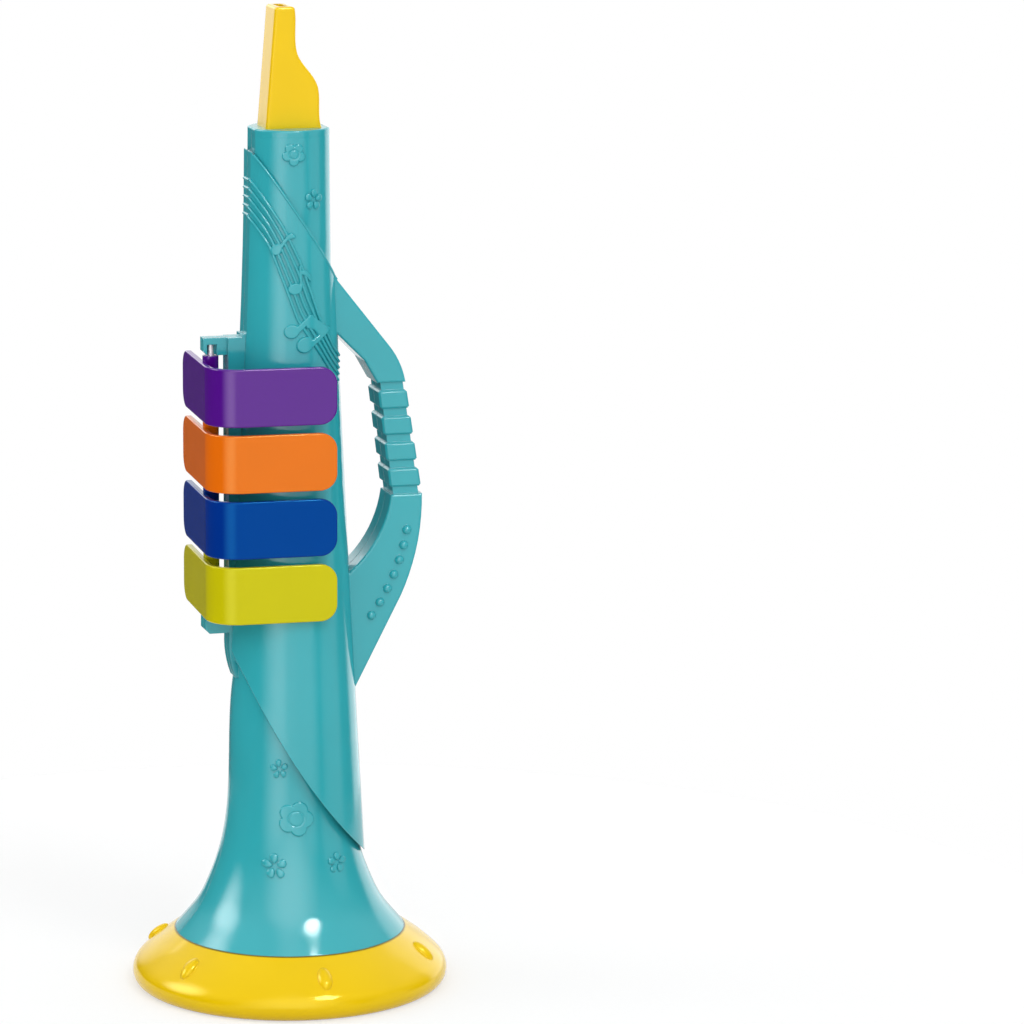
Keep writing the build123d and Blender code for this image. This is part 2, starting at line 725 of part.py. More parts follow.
def key(height):
    """One L-shaped key: front plate, bend, wing, and a barrel in two knuckles on the rod."""
    def bent(inward):
        end = (key_plate_length - key_side, inward - key_front)
        corner = (inward - key_side, inward - key_front)
        return FilletPolyline(end, corner, (inward - key_side, key_wing_length - key_front),
                              radius=key_bend_radius - inward)

    outer, inner = bent(0), bent(key_thickness)
    ends = Line(outer @ 0, inner @ 0) + Line(outer @ 1, inner @ 1)
    plate = Pos(0, 0, height - key_height / 2) * extrude(make_face(outer + inner + ends), key_height)
    corners = plate.edges().filter_by(lambda e: abs(e.length - key_thickness) < key_edge_radius)
    plate = fillet(corners, key_corner_radius)
    bend_seams = plate.edges().filter_by(Axis.Z).filter_by(lambda e: e.length > key_height - key_corner_radius)
    thick = plate.edges().filter_by(lambda e: abs(e.length - key_thickness) < key_edge_radius)
    plate = fillet([e for e in plate.edges() if e not in bend_seams and e not in thick], key_edge_radius)
    barrel_high = height + key_height / 2 + barrel_rise
    barrel_low = barrel_high - key_pitch + barrel_gap
    middle = (barrel_low + barrel_high) / 2
    room = box_between((key_thickness - key_side, -overrun, middle - spring_room / 2),
                       (overrun, overrun, middle + spring_room / 2))
    barrel = upright(0, barrel_radius, barrel_low, barrel_high) - room
    bore = upright(0, rod_radius + barrel_clearance, barrel_low - overrun, barrel_high + overrun)
    return in_key_frame(plate + barrel - bore)


def pad(height):
    """A soft disc on the back of the front plate."""
    back = key_thickness - key_front
    return in_key_frame(rod_along_y(rod_reach, height, pad_radius, back, back + pad_thickness))


def arc_pair(start, start_way, end, end_way):
    """Two tangent arcs from start to end that leave and arrive in the given directions."""
    span, both = end - start, start_way + end_way
    a, b = 2 * (1 - start_way.dot(end_way)), 2 * span.dot(both)
    reach = (-b + sqrt(b * b + 4 * a * span.dot(span))) / (2 * a)
    joint = (start + end + (start_way - end_way) * reach) * 0.5
    way = (span - both * reach).normalized()
    return TangentArc(start, joint, tangent=start_way) + TangentArc(joint, end, tangent=way)


def spring_path(height):
    """The wire's middle line about the rod: a leg to the flange, the coil, a leg to the wing."""
    quarters = 4 * spring_turns + 1
    step = pi / 2 + radians(key_turn) / quarters
    rise = spring_pitch * quarters / 4
    low = height + key_height / 2 + barrel_rise - (key_pitch - barrel_gap) / 2 - rise / 2

    def spot(i):
        angle = -pi / 2 - i * step
        return Vector(spring_mean_radius * cos(angle), spring_mean_radius * sin(angle), low + rise * i / quarters)

    def way(i):
        angle = -pi / 2 - i * step
        return Vector(sin(angle), -cos(angle), spring_pitch / (2 * pi * spring_mean_radius)).normalized()

    leg = rod_reach - flange_reach + spring_hole_depth - spring_hole_end_gap
    path = Line(spot(0) - way(0) * leg, spot(0))
    for i in range(quarters):
        path += arc_pair(spot(i), way(i), spot(i + 1), way(i + 1))
    return path + Line(spot(quarters), spot(quarters) + way(quarters) * spring_leg)


def least_gap(path):
    """The least space between the wire's turns, measured on points along its middle line."""
    count = ceil(path.length / spring_wire * 4)
    points = [path @ (i / count) for i in range(count + 1)]
    apart = ceil(pi * spring_mean_radius / path.length * count)
    return min((points[i] - points[j]).length for i in range(count + 1) for j in range(i + apart, count + 1)) - spring_wire


def spring(height):
    path = spring_path(height)
    section = Plane(origin=path @ 0, z_dir=path % 0) * Circle(spring_wire / 2)
    return Pos(-rod_reach, 0, 0) * sweep(section, path)


def spring_hole(height):
    """The small hole in the flange's side that takes the spring's fixed leg."""
    path = spring_path(height)
    way = path % 0
    length = spring_hole_depth + spring_wire
    middle = path @ 0 + way * (length / 2 - spring_hole_end_gap)
    hole = Plane(origin=middle, z_dir=way) * Cylinder(spring_hole_radius, length)
    return Pos(-rod_reach, 0, 0) * hole


def ear_holes():
    holes = [rod_along_y(x, z, unit_screw_radius + screw_clearance, -overrun, overrun)
             for z in ear_screw_heights for x in (-unit_screw_reach, unit_screw_reach)]
    return holes[0] + holes[1:]


def reed_box():
    """Four cells, open at the back to the reeds and at the front to the tone holes."""
    solid = box_between((-unit_half_width, -ear_front, unit_low), (unit_half_width, -plate_front, unit_high))
    solid += box_between((-box_half_width, -box_front, box_foot_height), (box_half_width, -plate_front, box_top_height))
    for z in key_heights:
        solid -= box_between((-cell_half_width, cell_wall - box_front, z - cell_half_height),
                             (cell_half_width, 0, z + cell_half_height))
        solid -= rod_along_y(0, z, tone_hole_radius, -overrun, 0)
    return solid - ear_holes()


def rivet_height(cell_height):
    return cell_height + reed_length / 2 - rivet_inset


def reed_plate():
    back = plate_thickness - plate_front
    solid = box_between((-unit_half_width, -plate_front, unit_low), (unit_half_width, back, unit_high))
    slot_half = reed_width / 2 + reed_slot_clearance
    for z in key_heights:
        foot = z - reed_length / 2 - reed_slot_clearance
        solid -= box_between((-slot_half, -overrun, foot), (slot_half, overrun, rivet_height(z) - rivet_inset))
        solid -= rod_along_y(0, rivet_height(z), rivet_radius + rivet_clearance, -overrun, overrun)
    return solid - ear_holes()


def reed_tongues():
    back = plate_thickness - plate_front
    tongues = []
    for z in key_heights:
        tongue = box_between((-reed_width / 2, back, z - reed_length / 2),
                             (reed_width / 2, back + reed_thickness, z + reed_length / 2))
        tongues.append(tongue - rod_along_y(0, rivet_height(z), rivet_radius + rivet_clearance, -overrun, overrun))
    return Compound(children=tongues)


def reed_rivets():
    head = plate_thickness - plate_front + reed_thickness
    rivets = []
    for z in key_heights:
        rivet = rod_along_y(0, rivet_height(z), rivet_radius, -plate_front, head)
        rivets.append(rivet + rod_along_y(0, rivet_height(z), rivet_head_radius, head, head + rivet_head_height))
    return Compound(children=rivets)


def reed_gasket():
    front = -cover_front - gasket_thickness
    inner = cover_half_width - cover_wall
    solid = box_between((-unit_half_width, front, unit_low), (unit_half_width, -cover_front, unit_high))
    solid -= box_between((-inner, front, box_foot_height + cover_wall), (inner, overrun, box_top_height - cover_wall))
    return solid - ear_holes()


def wind_cover():
    """The air box behind the reeds, with a spout up to the mouthpiece."""
    ceiling = box_top_height - cover_wall
    solid = box_between((-unit_half_width, -cover_front, unit_low),
                        (unit_half_width, cover_rim - cover_front, unit_high))
    solid += box_between((-cover_half_width, -cover_front, box_foot_height),
                         (cover_half_width, cover_back, box_top_height))
    solid += upright(0, spout_radius, ceiling, spout_top_height)
    inner = cover_half_width - cover_wall
    solid -= box_between((-inner, -cover_front, box_foot_height + cover_wall), (inner, cover_back - cover_wall, ceiling))
    solid -= upright(0, spout_bore, ceiling - seat_overlap, spout_top_height)
    return solid - ear_holes()


def port_seals():
    """Foam rings between the body's port tubes and the cell box."""
    seals = []
    for z in key_heights:
        seal = rod_along_y(0, z, port_tube_radius - port_seal_inset, -box_front - port_seal_thickness, -box_front)
        seals.append(seal - rod_along_y(0, z, tone_hole_radius + port_seal_inset, -overrun, 0))
    return Compound(children=seals)


def unit_screws():
    head = cover_rim - cover_front
    screws = []
    for z in ear_screw_heights:
        for x in (-unit_screw_reach, unit_screw_reach):
            shank = rod_along_y(x, z, unit_screw_radius, -unit_screw_tip, head)
            screws.append(shank + rod_along_y(x, z, unit_screw_head_radius, head, head + unit_screw_head_height))
    return Compound(children=screws)


def shell_screws():
    screws = []
    for x, z, depth in shell_screw_places():
        head = depth / 2 - shell_head_sink - shell_head_height
        shank = rod_along_y(x, z, shell_screw_radius, shell_tip_wall - depth / 2, head)
        screws.append(shank + rod_along_y(x, z, shell_head_radius, head, head + shell_head_height))
    return Compound(children=screws)


def key_rod():
    return upright(-rod_reach, rod_radius, lower_arm_foot + rod_blind_wall + rod_end_gap,
                   flange_top_height - rod_blind_wall - rod_end_gap)


def main():
    os.makedirs("parts", exist_ok=True)
    front, back = body_halves()
    pieces = {
        "front_shell": front,
        "back_shell": back,
        "bell_ring": bell_ring(),
        "mouthpiece": mouthpiece(),
        "key_rod": key_rod(),
        "reed_box": reed_box(),
        "reed_plate": reed_plate(),
        "reed_tongues": reed_tongues(),
        "reed_rivets": reed_rivets(),
        "reed_gasket": reed_gasket(),
        "wind_cover": wind_cover(),
        "port_seals": port_seals(),
        "unit_screws": unit_screws(),
        "shell_screws": shell_screws(),
    }
    for name, height in zip(key_names, key_heights):
        pieces["key_" + name] = key(height)
        pieces["pad_" + name] = pad(height)
        pieces["spring_" + name] = spring(height)
    for name, piece in pieces.items():
        export_step(piece, "parts/" + name + ".step")
    print("least gap in a spring:", round(least_gap(spring_path(key_heights[0])), 2), "mm")


main()
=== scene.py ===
from math import cos, hypot, pi, radians, sin

import bpy
import numpy as np
from mathutils import Matrix, Vector
from mathutils.bvhtree import BVHTree


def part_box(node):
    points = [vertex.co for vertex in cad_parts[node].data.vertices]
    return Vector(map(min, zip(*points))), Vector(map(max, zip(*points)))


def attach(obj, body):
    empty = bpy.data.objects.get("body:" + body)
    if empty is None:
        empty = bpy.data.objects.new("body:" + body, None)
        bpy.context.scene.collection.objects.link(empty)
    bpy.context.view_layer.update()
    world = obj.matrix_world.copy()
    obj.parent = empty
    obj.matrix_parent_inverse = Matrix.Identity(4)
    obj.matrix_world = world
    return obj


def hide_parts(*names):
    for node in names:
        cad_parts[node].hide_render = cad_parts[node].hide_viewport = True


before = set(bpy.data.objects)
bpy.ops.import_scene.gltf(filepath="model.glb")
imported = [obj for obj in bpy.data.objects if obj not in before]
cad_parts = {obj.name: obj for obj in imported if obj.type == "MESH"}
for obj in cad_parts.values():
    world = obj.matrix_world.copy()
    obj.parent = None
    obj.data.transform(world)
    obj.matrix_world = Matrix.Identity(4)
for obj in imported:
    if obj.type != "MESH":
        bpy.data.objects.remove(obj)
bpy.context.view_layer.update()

# A toy trumpet that stands on its bell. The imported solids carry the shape. The raised staff,
# notes and flowers, the tube's rim, the springs in two, the finishes and the studio are made here.
mm = 0.001
keyColours = ("purple", "orange", "blue", "lime")

cameraValues = {
    "place": (-354.96, -1392.58, 428.94),   # mm
    "pitch": 11.3,       # degrees
    "yaw": 16.903,
    "roll": 0.4,
    "lens": 175.78,      # mm
    "sensor": 36,
    "clip": (0.05, 20),  # metres
}


def makeCamera(values):
    pitch, yaw, roll = (radians(values[k]) for k in ("pitch", "yaw", "roll"))
    ahead = Vector((sin(yaw) * cos(pitch), cos(yaw) * cos(pitch), -sin(pitch)))
    level = Vector((cos(yaw), -sin(yaw), 0))
    upward = level.cross(ahead)
    right = level * cos(roll) + upward * sin(roll)
    up = upward * cos(roll) - level * sin(roll)
    data = bpy.data.cameras.new("photoCamera")
    data.lens, data.sensor_width = values["lens"], values["sensor"]
    data.clip_start, data.clip_end = values["clip"]
    camera = bpy.data.objects.new("photoCamera", data)
    bpy.context.scene.collection.objects.link(camera)
    turn = Matrix((right, up, -ahead)).transposed().to_4x4()
    camera.matrix_world = Matrix.Translation(Vector(values["place"]) * mm) @ turn
    bpy.context.scene.camera = camera


makeCamera(cameraValues)
print("camera placed")


def put(tree, kind, inputs=None, **settings):  # one node with its settings, values and links
    node = tree.nodes.new(kind)
    for name, value in settings.items():
        setattr(node, name, value)
    for key, value in (inputs or {}).items():
        if isinstance(value, bpy.types.NodeSocket):
            tree.links.new(value, node.inputs[key])
        else:
            node.inputs[key].default_value = value
    return node


def maths(tree, operation, *values):
    node = put(tree, "ShaderNodeMath", dict(enumerate(values)), operation=operation)
    return node.outputs[0]


def vectorMaths(tree, operation, *values):
    return put(tree, "ShaderNodeVectorMath", dict(enumerate(values)), operation=operation).outputs


def ramp(tree, value, low, high, toLow=0.0, toHigh=1.0):
    inputs = {"Value": value, "From Min": low, "From Max": high, "To Min": toLow, "To Max": toHigh}
    return put(tree, "ShaderNodeMapRange", inputs, interpolation_type="SMOOTHSTEP").outputs[0]


def mixColours(tree, share, first, second):
    node = put(tree, "ShaderNodeMix", data_type="RGBA")
    for socket, value in zip([s for s in node.inputs if s.enabled], (share, first, second)):
        if isinstance(value, bpy.types.NodeSocket):
            tree.links.new(value, socket)
        else:
            socket.default_value = value
    return next(s for s in node.outputs if s.enabled)


def newMaterial(name):  # with its tree, its shader and the place on the object
    material = bpy.data.materials.new(name)
    material.use_nodes = True
    tree = material.node_tree
    place = put(tree, "ShaderNodeTexCoord").outputs["Object"]
    return material, tree, tree.nodes["Principled BSDF"], place


plasticValues = {
    "cloudSize": 26.0,       # mm, slow change of colour
    "cloudStrength": 0.018,
    "grainSize": 0.35,       # mm, fine grain of the mould
    "grainDepth": 0.0007,
    "waveSize": 9.0,         # mm, slight waviness of a moulded wall
    "waveDepth": 0.035,
    "edgeRound": 0.35,       # mm, how far an edge is seen rounded
    "edgeTurn": (0.995, 0.90),   # cosine of its turn where an edge begins and is full
    # edges lightened in colour: a painted sheen where light catches the rounded edges
    "edgeWear": 0.16,
    "edgePale": 0.25,        # share of white in the painted edge sheen
    "edgeRoughness": 0.06,
    "roughness": 0.125,
    "roughnessSpread": 0.03,
    "seamWidth": 0.28,       # mm, groove where the two halves meet
    "seamFloor": 0.15,       # share of its width at full depth
    "seamDepth": 0.16,
    "jointRadius": 0.0,      # mm from the axis, where the ring meets the horn: a thin line of painted shade darkens the ring there
    "shadeLineWidth": 0.5,
    "shadeLineShare": 0.9,
    "shadeLineDark": 0.12,
}
colours = {  # linear
    "teal": (0.029, 0.378, 0.429, 1),
    "yellow": (0.86, 0.55, 0.002, 1),
    "ringYellow": (0.80, 0.525, 0.001, 1),
    "purple": (0.078, 0.003, 0.235, 1),
    "orange": (0.76, 0.142, 0.002, 1),
    "blue": (0.0005, 0.028, 0.245, 1),
    "lime": (0.55, 0.50, 0.002, 1),
    "cream": (0.70, 0.62, 0.50, 1),
    "rubber": (0.045, 0.045, 0.05, 1),
    "foam": (0.10, 0.10, 0.11, 1),
    "brass": (0.72, 0.50, 0.20, 1),
    "steel": (0.66, 0.65, 0.64, 1),
    "paleSteel": (0.80, 0.76, 0.76, 1),
}
glossTints = {  # some colours tint their gloss
    "yellow": (1, 1, 0.45, 1),
    "ringYellow": (1, 1, 0.3, 1),
    "purple": (1, 0.8, 1, 1),
    "orange": (1, 1, 0.4, 1),
    "blue": (0.05, 0.6, 1, 1),
    "lime": (1, 1, 0.25, 1),
}


def tint(colour, factor):
    return (*(min(c * factor, 1) for c in colour[:3]), 1)


def mouldedPlastic(name, paint, seam=False, **changes):
    v = {**plasticValues, **changes}
    colour = colours[paint]
    material, tree, shader, place = newMaterial(name)

    def cloud(size, detail=2.0):
        inputs = {"Vector": place, "Scale": 1 / (size * mm), "Detail": detail}
        return put(tree, "ShaderNodeTexNoise", inputs).outputs["Fac"]

    def bumped(height, depth, normal):
        inputs = {"Height": height, "Distance": depth * mm, "Normal": normal}
        return put(tree, "ShaderNodeBump", inputs).outputs[0]

    rounded = put(tree, "ShaderNodeBevel", {"Radius": v["edgeRound"] * mm}, samples=6).outputs[0]
    straight = put(tree, "ShaderNodeNewGeometry").outputs["Normal"]
    turned = vectorMaths(tree, "DOT_PRODUCT", rounded, straight)["Value"]
    edge = ramp(tree, turned, *v["edgeTurn"])
    slow = ramp(tree, cloud(v["cloudSize"]), 0.35, 0.65)
    darker, lighter = tint(colour, 1 - v["cloudStrength"]), tint(colour, 1 + v["cloudStrength"])
    body = mixColours(tree, slow, darker, lighter)
    # painted edge sheen: the colour whitened along edges, where light catches them
    pale = tuple(c * (1 - v["edgePale"]) + v["edgePale"] for c in colour[:3]) + (1,)
    paintedSheen = maths(tree, "MULTIPLY", edge, v["edgeWear"])
    body = mixColours(tree, paintedSheen, body, pale)
    # painted shade: the ring's colour darkened in a thin band where it meets the horn
    if v["jointRadius"]:
        flat = vectorMaths(tree, "MULTIPLY", place, (1, 1, 0))[0]
        out = vectorMaths(tree, "LENGTH", flat)["Value"]
        start, full = ((v["jointRadius"] + w) * mm for w in (v["shadeLineWidth"], 0))
        line = ramp(tree, out, start, full, 0.0, v["shadeLineShare"])
        body = mixColours(tree, line, body, tint(colour, v["shadeLineDark"]))
    tree.links.new(body, shader.inputs["Base Color"])
    fine = cloud(v["grainSize"], 3.0)
    smooth, dull = (v["roughness"] + s * v["roughnessSpread"] for s in (-1, 1))
    rough = ramp(tree, cloud(v["waveSize"] / 2), 0.3, 0.7, smooth, dull)
    rough = maths(tree, "ADD", rough, maths(tree, "MULTIPLY", edge, v["edgeRoughness"]))
    tree.links.new(rough, shader.inputs["Roughness"])
    bump = bumped(cloud(v["waveSize"], 0.0), v["waveDepth"], rounded)
    bump = bumped(fine, v["grainDepth"], bump)
    if seam:  # the halves meet on the plane Y = 0
        across = put(tree, "ShaderNodeSeparateXYZ", {0: place}).outputs["Y"]
        width = v["seamWidth"] * mm
        groove = ramp(tree, maths(tree, "ABSOLUTE", across), width * v["seamFloor"], width)
        bump = bumped(groove, v["seamDepth"], bump)
    tree.links.new(bump, shader.inputs["Normal"])
    shader.inputs["IOR"].default_value = 1.5
    shader.inputs["Specular Tint"].default_value = glossTints.get(paint, (1, 1, 1, 1))
    return material


metalValues = {
    "along": 300,        # drawn lines for each metre along the piece and round it
    "around": 6000,
    "lineDepth": 0.002,  # mm
    "roughness": (0.75, 1.3),    # as shares of the metal's own
    "tarnishScale": 260.0,
    "tarnish": (1.05, 0.82),
}


def drawnMetal(name, colour, roughness, ringsAlong="Z"):
    v = metalValues
    material, tree, shader, place = newMaterial(name)
    stretch = tuple(v["along"] if axis == ringsAlong else v["around"] for axis in "XYZ")
    lines = put(tree, "ShaderNodeMapping", {"Vector": place, "Scale": stretch}).outputs[0]
    inputs = {"Vector": lines, "Scale": 1.0, "Detail": 3.0}
    scratch = put(tree, "ShaderNodeTexNoise", inputs).outputs["Fac"]
    inputs = {"Vector": place, "Scale": v["tarnishScale"], "Detail": 4.0}
    tarnish = put(tree, "ShaderNodeTexNoise", inputs).outputs["Fac"]
    clean, dark = (tint(colour, t) for t in v["tarnish"])
    body = mixColours(tree, ramp(tree, tarnish, 0.35, 0.7), clean, dark)
    tree.links.new(body, shader.inputs["Base Color"])
    rough = ramp(tree, scratch, 0.3, 0.7, *(roughness * share for share in v["roughness"]))
    tree.links.new(rough, shader.inputs["Roughness"])
    bump = put(tree, "ShaderNodeBump", {"Height": scratch, "Distance": v["lineDepth"] * mm})
    tree.links.new(bump.outputs[0], shader.inputs["Normal"])
    shader.inputs["Metallic"].default_value = 1.0
    return material


rubberValues = {
    "poreDepth": 0.03,   # mm
    "poreGloss": 0.1,    # how much smoother the pores are
    "dustScale": 900.0,
    "dustPale": 1.7,
}


def softRubber(name, colour, poreSize, roughness):
    v = rubberValues
    material, tree, shader, place = newMaterial(name)
    inputs = {"Vector": place, "Scale": 1 / (poreSize * mm)}
    pores = put(tree, "ShaderNodeTexVoronoi", inputs).outputs["Distance"]
    inputs = {"Vector": place, "Scale": v["dustScale"], "Detail": 4.0}
    dust = put(tree, "ShaderNodeTexNoise", inputs).outputs["Fac"]
    body = mixColours(tree, ramp(tree, dust, 0.45, 0.7), colour, tint(colour, v["dustPale"]))
    tree.links.new(body, shader.inputs["Base Color"])
    rough = ramp(tree, pores, 0.0, 0.6, roughness - v["poreGloss"], roughness)
    tree.links.new(rough, shader.inputs["Roughness"])
    bump = put(tree, "ShaderNodeBump", {"Height": pores, "Distance": v["poreDepth"] * mm})
    tree.links.new(bump.outputs[0], shader.inputs["Normal"])
    return material


tealPlastic = mouldedPlastic("tealPlastic", "teal", seam=True)
reliefPlastic = mouldedPlastic("reliefPlastic", "teal", edgeRound=0.15)
yellowPlastic = mouldedPlastic("yellowPlastic", "yellow", edgeRound=0.8)
ringPlastic = mouldedPlastic("ringPlastic", "ringYellow", edgeRound=0.25, jointRadius=34.12)
creamPlastic = mouldedPlastic("creamPlastic", "cream", roughness=0.4)
reedBrass = drawnMetal("reedBrass", colours["brass"], 0.28)
rodSteel = drawnMetal("rodSteel", colours["paleSteel"], 0.6)
springSteel = drawnMetal("springSteel", colours["steel"], 0.3)
screwSteel = drawnMetal("screwSteel", colours["steel"], 0.34, "Y")
padRubber = softRubber("padRubber", colours["rubber"], 0.5, 0.7)
sealFoam = softRubber("sealFoam", colours["foam"], 0.35, 0.9)
finishes = {
    "front_shell": tealPlastic,
    "back_shell": tealPlastic,
    "bell_ring": ringPlastic,
    "mouthpiece": yellowPlastic,
    "key_rod": rodSteel,
    "reed_box": creamPlastic,
    "wind_cover": creamPlastic,
    "reed_plate": reedBrass,
    "reed_tongues": reedBrass,
    "reed_rivets": reedBrass,
    "reed_gasket": sealFoam,
    "port_seals": sealFoam,
    "unit_screws": screwSteel,
    "shell_screws": screwSteel,
}
# each key in its colour, with a weaker painted edge sheen
for keyName in keyColours:
    finishes["key_" + keyName] = mouldedPlastic(
        keyName + "Plastic", keyName, roughness=0.11, edgeRound=0.32, edgeWear=0.1)
    finishes["pad_" + keyName] = padRubber
    finishes["spring_" + keyName] = springSteel
for nodeName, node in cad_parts.items():
    node.data.materials.clear()
    node.data.materials.append(finishes[nodeName])
print("finishes on", len(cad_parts), "solids")


# the relief stands on these walls
def wallTree(name):
    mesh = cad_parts[name].data
    return BVHTree.FromPolygons([v.co for v in mesh.vertices], [p.vertices for p in mesh.polygons])


frontTree, backTree = wallTree("front_shell"), wallTree("back_shell")


def castRay(origin, way, tree=frontTree):
    return tree.ray_cast(Vector(origin) * mm, Vector(way))[0]


wallValues = {
    "away": 80,      # mm, where the measuring rays start
    "readings": 90,
    "degree": 5,     # of the curve through the readings
    "tube": (224, 253.2, 38),    # lowest and highest reading in mm, turn from the front
    "sleeve": (194, 243, -45),
    "horn": (33, 74, -26),
}


def measureWall(name):  # radius against height, in mm, read along one line of the front half
    v = wallValues
    low, high, turn = v[name]
    out = Vector((sin(radians(turn)), -cos(radians(turn)), 0))
    heights = np.linspace(low, high, v["readings"])
    radii = []
    for z in heights:
        hit = castRay((*(out * v["away"])[:2], z), -out)
        radii.append(hypot(hit.x, hit.y) / mm)
    middle = (low + high) / 2
    return {"middle": middle, "terms": np.polyfit(heights - middle, radii, v["degree"])}


def wallRadius(wall, z):
    return np.polyval(wall["terms"], np.asarray(z) - wall["middle"])


def onWall(wall, x, z, height):  # a point on the front of a round wall, stood off square to it
    x, z, height = np.broadcast_arrays(*(np.asarray(a, float) for a in (x, z, height)))
    radius = wallRadius(wall, z)
    slope = np.polyval(np.polyder(wall["terms"]), z - wall["middle"])
    y = -np.sqrt(np.maximum(radius**2 - x**2, 0.01))
    normal = np.stack([x / radius, y / radius, -slope], -1)
    normal /= np.linalg.norm(normal, axis=-1, keepdims=True)
    return np.stack([x, y, z], -1) + normal * height[..., None]


tubeWall, sleeveWall, hornWall = (measureWall(name) for name in ("tube", "sleeve", "horn"))


def newPiece(name, mesh, material):
    piece = bpy.data.objects.new(name, mesh)
    bpy.context.scene.collection.objects.link(piece)
    mesh.materials.clear()
    mesh.materials.append(material)
    return piece


def rideTrumpet(piece):
    piece.data.polygons.foreach_set("use_smooth", [True] * len(piece.data.polygons))
    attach(piece, "trumpet")


# notes and five-lobed flowers
plateValues = {
    "step": 0.13,     # mm between points
    "edge": 0.42,     # width of the rounded edge
    "sink": 0.12,     # how far the border goes under the wall
    "margin": 1.1,    # steps of flat border kept round a shape
    "grooveDepth": 0.2,
    "grooveWidth": 0.22,
}


def toSegment(x, z, start, end):  # distance to a line, and how far along it
    (x0, z0), (x1, z1) = start, end
    along = ((x - x0) * (x1 - x0) + (z - z0) * (z1 - z0)) / ((x1 - x0) ** 2 + (z1 - z0) ** 2)
    along = np.clip(along, 0, 1)
    return np.hypot(x - x0 - along * (x1 - x0), z - z0 - along * (z1 - z0)), along


def strokeShape(points, widths):
    def distance(x, z):
        found = []
        for i in range(len(points) - 1):
            d, along = toSegment(x, z, points[i], points[i + 1])
            found.append(d - widths[i] - along * (widths[i + 1] - widths[i]))
        return np.minimum.reduce(found)
    return distance


def ovalShape(centre, long, short, tilt):
    turn = radians(tilt)

    def distance(x, z):
        u = ((x - centre[0]) * cos(turn) + (z - centre[1]) * sin(turn)) / long
        w = ((z - centre[1]) * cos(turn) - (x - centre[0]) * sin(turn)) / short
        return (np.hypot(u, w) - 1) * min(long, short)
    return distance


def cornerShape(corners):  # a filled shape with straight sides
    def distance(x, z):
        inside = np.zeros(x.shape, bool)
        found = np.full(x.shape, 1e9)
        for (x0, z0), (x1, z1) in zip(corners, corners[1:] + corners[:1]):
            found = np.minimum(found, toSegment(x, z, (x0, z0), (x1, z1))[0])
            crossing = (z0 > z) != (z1 > z)
            with np.errstate(divide="ignore", invalid="ignore"):
                inside ^= crossing & (x < (x1 - x0) * (z - z0) / (z1 - z0 + 1e-12) + x0)
        return np.where(inside, -found, found)
    return distance


def lobedShape(centre, reach, lobe, turn, lobes=5):  # round lobes about a middle
    def distance(x, z):
        found = [np.hypot(x - centre[0], z - centre[1]) - reach]
        for i in range(lobes):
            angle = radians(turn + 360 * i / lobes)
            across, up = x - centre[0] - reach * cos(angle), z - centre[1] - reach * sin(angle)
            found.append(np.hypot(across, up) - lobe)
        return np.minimum.reduce(found)
    return distance


def joined(*shapes):
    return lambda x, z: np.minimum.reduce([s(x, z) for s in shapes])


def raisedPlate(name, wall, shape, height, box, carve=None):
    v = plateValues
    (x0, z0), (x1, z1) = box
    xs, zs = np.arange(x0, x1, v["step"]), np.arange(z0, z1, v["step"])
    x, z = np.meshgrid(xs, zs)
    far = shape(x, z)
    rise = np.clip(-far / v["edge"], 0, 1)
    rise = np.sqrt(np.clip(1 - (1 - rise) ** 2, 0, 1))
    top = rise * (height + v["sink"]) - v["sink"]
    if carve:
        top = top + carve(x, z) * (far < -v["edge"] / 2)
    points = onWall(wall, x, z, top)
    keep = far < v["step"] * v["margin"]
    index = -np.ones(x.shape, int)
    index[keep] = np.arange(keep.sum())
    corners = [index[:-1, :-1], index[:-1, 1:], index[1:, 1:], index[1:, :-1]]
    quads = np.stack(corners, -1).reshape(-1, 4)
    quads = quads[(quads >= 0).all(1)]
    mesh = bpy.data.meshes.new(name)
    mesh.from_pydata((points[keep] * mm).tolist(), [], quads.tolist())
    mesh.validate()
    rideTrumpet(newPiece(name, mesh, reliefPlastic))


noteValues = {
    "height": 0.8,
    "quaver": (
        ovalShape((-6.45, 221.0), 1.85, 1.5, 62),
        strokeShape([(-5.7, 221.3), (-3.55, 224.4)], [0.6, 0.6]),
        strokeShape([(-3.6, 224.5), (-2.6, 225.0), (-1.75, 224.8)], [0.65, 0.95, 0.55]),
    ),
    "quaverBox": ((-9, 218), (0, 227)),
    "secondQuaver": (
        ovalShape((-1.55, 209.7), 2.2, 1.75, 12),
        strokeShape([(0.15, 210.4), (-0.1, 216.1)], [0.6, 0.45]),
        strokeShape([(0.2, 214.5), (1.3, 214.3), (2.35, 213.3), (2.95, 212.0)],
                    [0.75, 0.9, 0.75, 0.4]),
    ),
    "secondQuaverBox": ((-5, 206), (5, 218)),
    "pair": (
        ovalShape((-2.6, 197.35), 2.3, 2.05, 30),
        ovalShape((1.1, 193.4), 2.6, 2.3, 38),
        strokeShape([(-1.3, 197.5), (3.0, 201.3)], [1.0, 0.95]),
        strokeShape([(2.6, 193.2), (8.5, 197.3)], [1.0, 0.8]),
        cornerShape([(1.2, 199.6), (3.2, 201.9), (9.0, 197.9), (6.2, 195.4),
                     (4.9, 196.2), (3.8, 197.5), (2.4, 198.1), (1.6, 198.0)]),
    ),
    "pairBox": ((-6, 190), (11, 204)),
}
noteShapes = {"firstNote": "quaver", "secondNote": "secondQuaver", "beamedNotes": "pair"}
for name, strokes in noteShapes.items():
    shape, box = joined(*noteValues[strokes]), noteValues[strokes + "Box"]
    raisedPlate(name, sleeveWall, shape, noteValues["height"], box)

